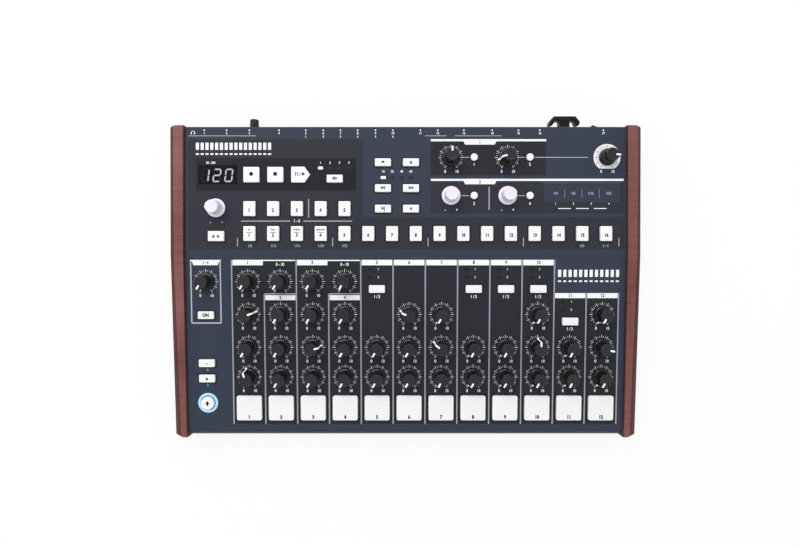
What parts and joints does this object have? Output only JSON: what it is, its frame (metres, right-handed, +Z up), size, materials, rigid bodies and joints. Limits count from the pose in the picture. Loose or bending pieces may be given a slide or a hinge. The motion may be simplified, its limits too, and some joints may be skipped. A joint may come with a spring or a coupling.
{
  "type": "drum machine",
  "caption": "Table-top analogue drum machine: bent steel control panel with knobs, pads and keys between two wooden end cheeks.",
  "frame": {"origin": "centre of the bounding box on the table, under the rubber feet", "axes": "+X to the user's right, +Y from the user towards the rear sockets, +Z up"},
  "size_m": [0.484, 0.3372, 0.058],
  "materials": {
    "panel_paint": "fine matt blue-grey powder coat",
    "tray_paint": "matt black",
    "cheek_wood": "red-brown stained and satin lacquered",
    "board": "solder mask",
    "socket_plastic": "moulded",
    "window": "smoked and polished",
    "touch_surface": "fine texture",
    "white_silicone": "matt moulded silicone",
    "black_knob": "soft-touch",
    "white_knob": "satin moulded",
    "foot_rubber": "matt",
    "black_plastic": "moulded"
  },
  "bodies": {
    "housing": {"top_panel": "panel_paint", "base_tray": "tray_paint", "left_cheek": "cheek_wood", "right_cheek": "cheek_wood", "control_boards": "board", "jack_board": "socket_plastic", "display_window": "window", "touch_strip": "touch_surface", "cord_hook": "black_plastic", "front_feet": "foot_rubber", "rear_feet": "foot_rubber"},
    "step_key_mat": {"step_key_mat": "white_silicone"},
    "rear_key_mat": {"rear_key_mat": "white_silicone"},
    "filter_cutoff_knob": {"filter_cutoff_knob": "black_knob"},
    "filter_resonance_knob": {"filter_resonance_knob": "black_knob"},
    "master_volume_knob": {"master_volume_knob": "black_knob"},
    "rate_knob": {"rate_knob": "white_knob"},
    "swing_knob": {"swing_knob": "white_knob"},
    "randomness_knob": {"randomness_knob": "white_knob"},
    "pad_mat": {"pad_mat": "white_silicone"},
    "front_key_mat": {"front_key_mat": "white_silicone"},
    "kick1_tone_knob": {"kick1_tone_knob": "black_knob"},
    "kick2_tone_knob": {"kick2_tone_knob": "black_knob"},
    "snare_tone_knob": {"snare_tone_knob": "black_knob"},
    "clap_tone_knob": {"clap_tone_knob": "black_knob"},
    "kick1_decay_knob": {"kick1_decay_knob": "black_knob"},
    "kick2_decay_knob": {"kick2_decay_knob": "black_knob"},
    "snare_decay_knob": {"snare_decay_knob": "black_knob"},
    "clap_decay_knob": {"clap_decay_knob": "black_knob"},
    "closed_hat_decay_knob": {"closed_hat_decay_knob": "black_knob"},
    "open_hat_decay_knob": {"open_hat_decay_knob": "black_knob"},
    "cymbal_decay_knob": {"cymbal_decay_knob": "black_knob"},
    "zap_decay_knob": {"zap_decay_knob": "black_knob"},
    "kick1_pitch_knob": {"kick1_pitch_knob": "black_knob"},
    "kick2_pitch_knob": {"kick2_pitch_knob": "black_knob"},
    "snare_pitch_knob": {"snare_pitch_knob": "black_knob"},
    "clap_pitch_knob": {"clap_pitch_knob": "black_knob"},
    "rim_pitch_knob": {"rim_pitch_knob": "black_knob"},
    "closed_hat_pitch_knob": {"closed_hat_pitch_knob": "black_knob"},
    "open_hat_pitch_knob": {"open_hat_pitch_knob": "black_knob"},
    "tom_high_pitch_knob": {"tom_high_pitch_knob": "black_knob"},
    "tom_low_pitch_knob": {"tom_low_pitch_knob": "black_knob"},
    "cymbal_pitch_knob": {"cymbal_pitch_knob": "black_knob"},
    "maracas_pitch_knob": {"maracas_pitch_knob": "black_knob"},
    "zap_pitch_knob": {"zap_pitch_knob": "black_knob"},
    "kick1_level_knob": {"kick1_level_knob": "black_knob"},
    "kick2_level_knob": {"kick2_level_knob": "black_knob"},
    "snare_level_knob": {"snare_level_knob": "black_knob"},
    "clap_level_knob": {"clap_level_knob": "black_knob"},
    "rim_level_knob": {"rim_level_knob": "black_knob"},
    "closed_hat_level_knob": {"closed_hat_level_knob": "black_knob"},
    "open_hat_level_knob": {"open_hat_level_knob": "black_knob"},
    "tom_high_level_knob": {"tom_high_level_knob": "black_knob"},
    "tom_low_level_knob": {"tom_low_level_knob": "black_knob"},
    "cymbal_level_knob": {"cymbal_level_knob": "black_knob"},
    "maracas_level_knob": {"maracas_level_knob": "black_knob"},
    "zap_level_knob": {"zap_level_knob": "black_knob"},
    "metronome_level_knob": {"metronome_level_knob": "black_knob"},
    "phones_level_knob": {"phones_level_knob": "black_knob"},
    "power_rocker": {"power_rocker": "black_plastic"}
  },
  "joints": [
    {"name": "step_key_press", "type": "slide", "parent": "housing", "child": "step_key_mat", "axis": [0, 0, -1], "range_m": [0, 0.0015], "stiffness_N_per_m": 1000, "springref_m": -0.0015},
    {"name": "rear_key_press", "type": "slide", "parent": "housing", "child": "rear_key_mat", "axis": [0, 0, -1], "range_m": [0, 0.0015], "stiffness_N_per_m": 1000, "springref_m": -0.0015},
    {"name": "filter_cutoff_turn", "type": "hinge", "parent": "housing", "child": "filter_cutoff_knob", "pos_m": [0.0467, 0.12187, 0.042], "axis": [0, 0, 1], "range_deg": [-150, 150]},
    {"name": "filter_resonance_turn", "type": "hinge", "parent": "housing", "child": "filter_resonance_knob", "pos_m": [0.10469, 0.12187, 0.042], "axis": [0, 0, 1], "range_deg": [-256, 44]},
    {"name": "master_volume_turn", "type": "hinge", "parent": "housing", "child": "master_volume_knob", "pos_m": [0.2068, 0.12187, 0.042], "axis": [0, 0, 1], "range_deg": [-55, 245]},
    {"name": "rate_turn", "type": "hinge", "parent": "housing", "child": "rate_knob", "pos_m": [-0.19421, 0.06987, 0.042], "axis": [0, 0, 1], "continuous": true},
    {"name": "swing_turn", "type": "hinge", "parent": "housing", "child": "swing_knob", "pos_m": [0.0467, 0.08257, 0.042], "axis": [0, 0, 1], "continuous": true},
    {"name": "randomness_turn", "type": "hinge", "parent": "housing", "child": "randomness_knob", "pos_m": [0.10469, 0.08257, 0.042], "axis": [0, 0, 1], "continuous": true},
    {"name": "pad_press", "type": "slide", "parent": "housing", "child": "pad_mat", "axis": [0, 0.0527, -0.9986], "range_m": [0, 0.0015], "stiffness_N_per_m": 1500, "springref_m": -0.0015},
    {"name": "front_key_press", "type": "slide", "parent": "housing", "child": "front_key_mat", "axis": [0, 0.0527, -0.9986], "range_m": [0, 0.0015], "stiffness_N_per_m": 800, "springref_m": -0.0015},
    {"name": "kick1_tone_turn", "type": "hinge", "parent": "housing", "child": "kick1_tone_knob", "pos_m": [-0.1622, -0.00559, 0.04056], "axis": [0, -0.0527, 0.9986], "range_deg": [-300, 0]},
    {"name": "kick2_tone_turn", "type": "hinge", "parent": "housing", "child": "kick2_tone_knob", "pos_m": [-0.129, -0.00559, 0.04056], "axis": [0, -0.0527, 0.9986], "range_deg": [-300, 0]},
    {"name": "snare_tone_turn", "type": "hinge", "parent": "housing", "child": "snare_tone_knob", "pos_m": [-0.0958, -0.00559, 0.04056], "axis": [0, -0.0527, 0.9986], "range_deg": [-300, 0]},
    {"name": "clap_tone_turn", "type": "hinge", "parent": "housing", "child": "clap_tone_knob", "pos_m": [-0.0626, -0.00559, 0.04056], "axis": [0, -0.0527, 0.9986], "range_deg": [-300, 0]},
    {"name": "kick1_decay_turn", "type": "hinge", "parent": "housing", "child": "kick1_decay_knob", "pos_m": [-0.1622, -0.03955, 0.03877], "axis": [0, -0.0527, 0.9986], "range_deg": [-80, 220]},
    {"name": "kick2_decay_turn", "type": "hinge", "parent": "housing", "child": "kick2_decay_knob", "pos_m": [-0.129, -0.03955, 0.03877], "axis": [0, -0.0527, 0.9986], "range_deg": [-300, 0]},
    {"name": "snare_decay_turn", "type": "hinge", "parent": "housing", "child": "snare_decay_knob", "pos_m": [-0.0958, -0.03955, 0.03877], "axis": [0, -0.0527, 0.9986], "range_deg": [-300, 0]},
    {"name": "clap_decay_turn", "type": "hinge", "parent": "housing", "child": "clap_decay_knob", "pos_m": [-0.0626, -0.03955, 0.03877], "axis": [0, -0.0527, 0.9986], "range_deg": [-300, 0]},
    {"name": "closed_hat_decay_turn", "type": "hinge", "parent": "housing", "child": "closed_hat_decay_knob", "pos_m": [0.0038, -0.03955, 0.03877], "axis": [0, -0.0527, 0.9986], "range_deg": [-218, 82]},
    {"name": "open_hat_decay_turn", "type": "hinge", "parent": "housing", "child": "open_hat_decay_knob", "pos_m": [0.037, -0.03955, 0.03877], "axis": [0, -0.0527, 0.9986], "range_deg": [-300, 0]},
    {"name": "cymbal_decay_turn", "type": "hinge", "parent": "housing", "child": "cymbal_decay_knob", "pos_m": [0.1366, -0.03955, 0.03877], "axis": [0, -0.0527, 0.9986], "range_deg": [-300, 0]},
    {"name": "zap_decay_turn", "type": "hinge", "parent": "housing", "child": "zap_decay_knob", "pos_m": [0.203, -0.03955, 0.03877], "axis": [0, -0.0527, 0.9986], "range_deg": [-300, 0]},
    {"name": "kick1_pitch_turn", "type": "hinge", "parent": "housing", "child": "kick1_pitch_knob", "pos_m": [-0.1622, -0.0738, 0.03697], "axis": [0, -0.0527, 0.9986], "range_deg": [-300, 0]},
    {"name": "kick2_pitch_turn", "type": "hinge", "parent": "housing", "child": "kick2_pitch_knob", "pos_m": [-0.129, -0.0738, 0.03697], "axis": [0, -0.0527, 0.9986], "range_deg": [-300, 0]},
    {"name": "snare_pitch_turn", "type": "hinge", "parent": "housing", "child": "snare_pitch_knob", "pos_m": [-0.0958, -0.0738, 0.03697], "axis": [0, -0.0527, 0.9986], "range_deg": [-75, 225]},
    {"name": "clap_pitch_turn", "type": "hinge", "parent": "housing", "child": "clap_pitch_knob", "pos_m": [-0.0626, -0.0738, 0.03697], "axis": [0, -0.0527, 0.9986], "range_deg": [-300, 0]},
    {"name": "rim_pitch_turn", "type": "hinge", "parent": "housing", "child": "rim_pitch_knob", "pos_m": [-0.0294, -0.0738, 0.03697], "axis": [0, -0.0527, 0.9986], "range_deg": [-300, 0]},
    {"name": "closed_hat_pitch_turn", "type": "hinge", "parent": "housing", "child": "closed_hat_pitch_knob", "pos_m": [0.0038, -0.0738, 0.03697], "axis": [0, -0.0527, 0.9986], "range_deg": [-300, 0]},
    {"name": "open_hat_pitch_turn", "type": "hinge", "parent": "housing", "child": "open_hat_pitch_knob", "pos_m": [0.037, -0.0738, 0.03697], "axis": [0, -0.0527, 0.9986], "range_deg": [-203, 97]},
    {"name": "tom_high_pitch_turn", "type": "hinge", "parent": "housing", "child": "tom_high_pitch_knob", "pos_m": [0.0702, -0.0738, 0.03697], "axis": [0, -0.0527, 0.9986], "range_deg": [-300, 0]},
    {"name": "tom_low_pitch_turn", "type": "hinge", "parent": "housing", "child": "tom_low_pitch_knob", "pos_m": [0.1034, -0.0738, 0.03697], "axis": [0, -0.0527, 0.9986], "range_deg": [-300, 0]},
    {"name": "cymbal_pitch_turn", "type": "hinge", "parent": "housing", "child": "cymbal_pitch_knob", "pos_m": [0.1366, -0.0738, 0.03697], "axis": [0, -0.0527, 0.9986], "range_deg": [-150, 150]},
    {"name": "maracas_pitch_turn", "type": "hinge", "parent": "housing", "child": "maracas_pitch_knob", "pos_m": [0.1698, -0.0738, 0.03697], "axis": [0, -0.0527, 0.9986], "range_deg": [-300, 0]},
    {"name": "zap_pitch_turn", "type": "hinge", "parent": "housing", "child": "zap_pitch_knob", "pos_m": [0.203, -0.0738, 0.03697], "axis": [0, -0.0527, 0.9986], "range_deg": [-50, 250]},
    {"name": "kick1_level_turn", "type": "hinge", "parent": "housing", "child": "kick1_level_knob", "pos_m": [-0.1622, -0.10485, 0.03533], "axis": [0, -0.0527, 0.9986], "range_deg": [-165, 135]},
    {"name": "kick2_level_turn", "type": "hinge", "parent": "housing", "child": "kick2_level_knob", "pos_m": [-0.129, -0.10485, 0.03533], "axis": [0, -0.0527, 0.9986], "range_deg": [-300, 0]},
    {"name": "snare_level_turn", "type": "hinge", "parent": "housing", "child": "snare_level_knob", "pos_m": [-0.0958, -0.10485, 0.03533], "axis": [0, -0.0527, 0.9986], "range_deg": [-300, 0]},
    {"name": "clap_level_turn", "type": "hinge", "parent": "housing", "child": "clap_level_knob", "pos_m": [-0.0626, -0.10485, 0.03533], "axis": [0, -0.0527, 0.9986], "range_deg": [-300, 0]},
    {"name": "rim_level_turn", "type": "hinge", "parent": "housing", "child": "rim_level_knob", "pos_m": [-0.0294, -0.10485, 0.03533], "axis": [0, -0.0527, 0.9986], "range_deg": [-300, 0]},
    {"name": "closed_hat_level_turn", "type": "hinge", "parent": "housing", "child": "closed_hat_level_knob", "pos_m": [0.0038, -0.10485, 0.03533], "axis": [0, -0.0527, 0.9986], "range_deg": [-300, 0]},
    {"name": "open_hat_level_turn", "type": "hinge", "parent": "housing", "child": "open_hat_level_knob", "pos_m": [0.037, -0.10485, 0.03533], "axis": [0, -0.0527, 0.9986], "range_deg": [-300, 0]},
    {"name": "tom_high_level_turn", "type": "hinge", "parent": "housing", "child": "tom_high_level_knob", "pos_m": [0.0702, -0.10485, 0.03533], "axis": [0, -0.0527, 0.9986], "range_deg": [-300, 0]},
    {"name": "tom_low_level_turn", "type": "hinge", "parent": "housing", "child": "tom_low_level_knob", "pos_m": [0.1034, -0.10485, 0.03533], "axis": [0, -0.0527, 0.9986], "range_deg": [-300, 0]},
    {"name": "cymbal_level_turn", "type": "hinge", "parent": "housing", "child": "cymbal_level_knob", "pos_m": [0.1366, -0.10485, 0.03533], "axis": [0, -0.0527, 0.9986], "range_deg": [-300, 0]},
    {"name": "maracas_level_turn", "type": "hinge", "parent": "housing", "child": "maracas_level_knob", "pos_m": [0.1698, -0.10485, 0.03533], "axis": [0, -0.0527, 0.9986], "range_deg": [-300, 0]},
    {"name": "zap_level_turn", "type": "hinge", "parent": "housing", "child": "zap_level_knob", "pos_m": [0.203, -0.10485, 0.03533], "axis": [0, -0.0527, 0.9986], "range_deg": [-300, 0]},
    {"name": "metronome_level_turn", "type": "hinge", "parent": "housing", "child": "metronome_level_knob", "pos_m": [-0.2055, -0.00559, 0.04056], "axis": [0, -0.0527, 0.9986], "range_deg": [-300, 0]},
    {"name": "phones_level_turn", "type": "hinge", "parent": "housing", "child": "phones_level_knob", "pos_m": [-0.16051, 0.02167, 0.022], "axis": [0, 1, 0], "range_deg": [-300, 0]},
    {"name": "power_rocker_tilt", "type": "hinge", "parent": "housing", "child": "power_rocker", "pos_m": [0.2031, 0.15357, 0.022], "axis": [0, 0, 1], "range_deg": [0, 20]}
  ]
}
